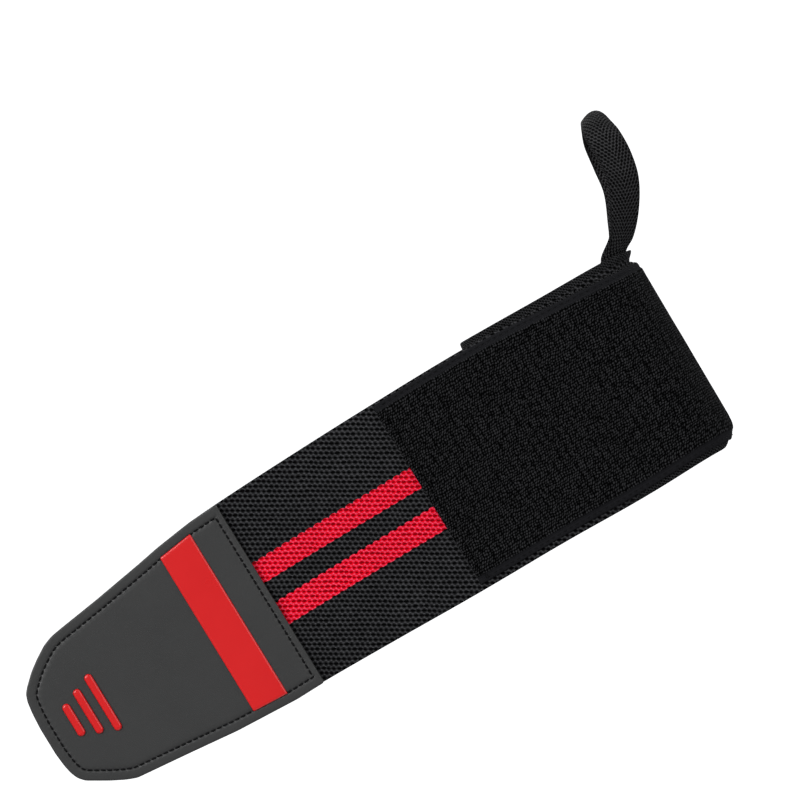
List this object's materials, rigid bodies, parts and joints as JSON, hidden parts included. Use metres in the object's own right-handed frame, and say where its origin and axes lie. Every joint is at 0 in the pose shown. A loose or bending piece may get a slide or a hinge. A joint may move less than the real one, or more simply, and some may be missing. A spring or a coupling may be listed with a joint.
{
  "type": "wrist wrap",
  "caption": "Elastic wrist wrap in its worn form, with a thumb loop, a pile patch on its outer face and a straight tail that ends in a tapered rubber tab with a hook pad behind it.",
  "frame": {"origin": "centre of the hollow for the wrist", "axes": "+Z along the wrist towards the hand, +X across it towards the thumb and along the whole wrap, -Y towards the front, which the tail leaves"},
  "size_m": [0.3017, 0.0553, 0.1317],
  "materials": {
    "elastic": "thick woven elastic, black with red woven stripes",
    "pile": "black knitted pile with woven selvedges",
    "strap": "narrow black woven elastic",
    "rubber": "matte dark grey moulded rubber",
    "hook": "black hook tape",
    "red": "glossy red moulded rubber"
  },
  "bodies": {
    "root": {"elastic_band": "elastic", "pile_patch": "pile", "thumb_loop": "strap", "tab_patch": "rubber", "hook_pad": "hook", "red_band": "red", "grip_bar_1": "red", "grip_bar_2": "red", "grip_bar_3": "red"}
  },
  "joints": []
}
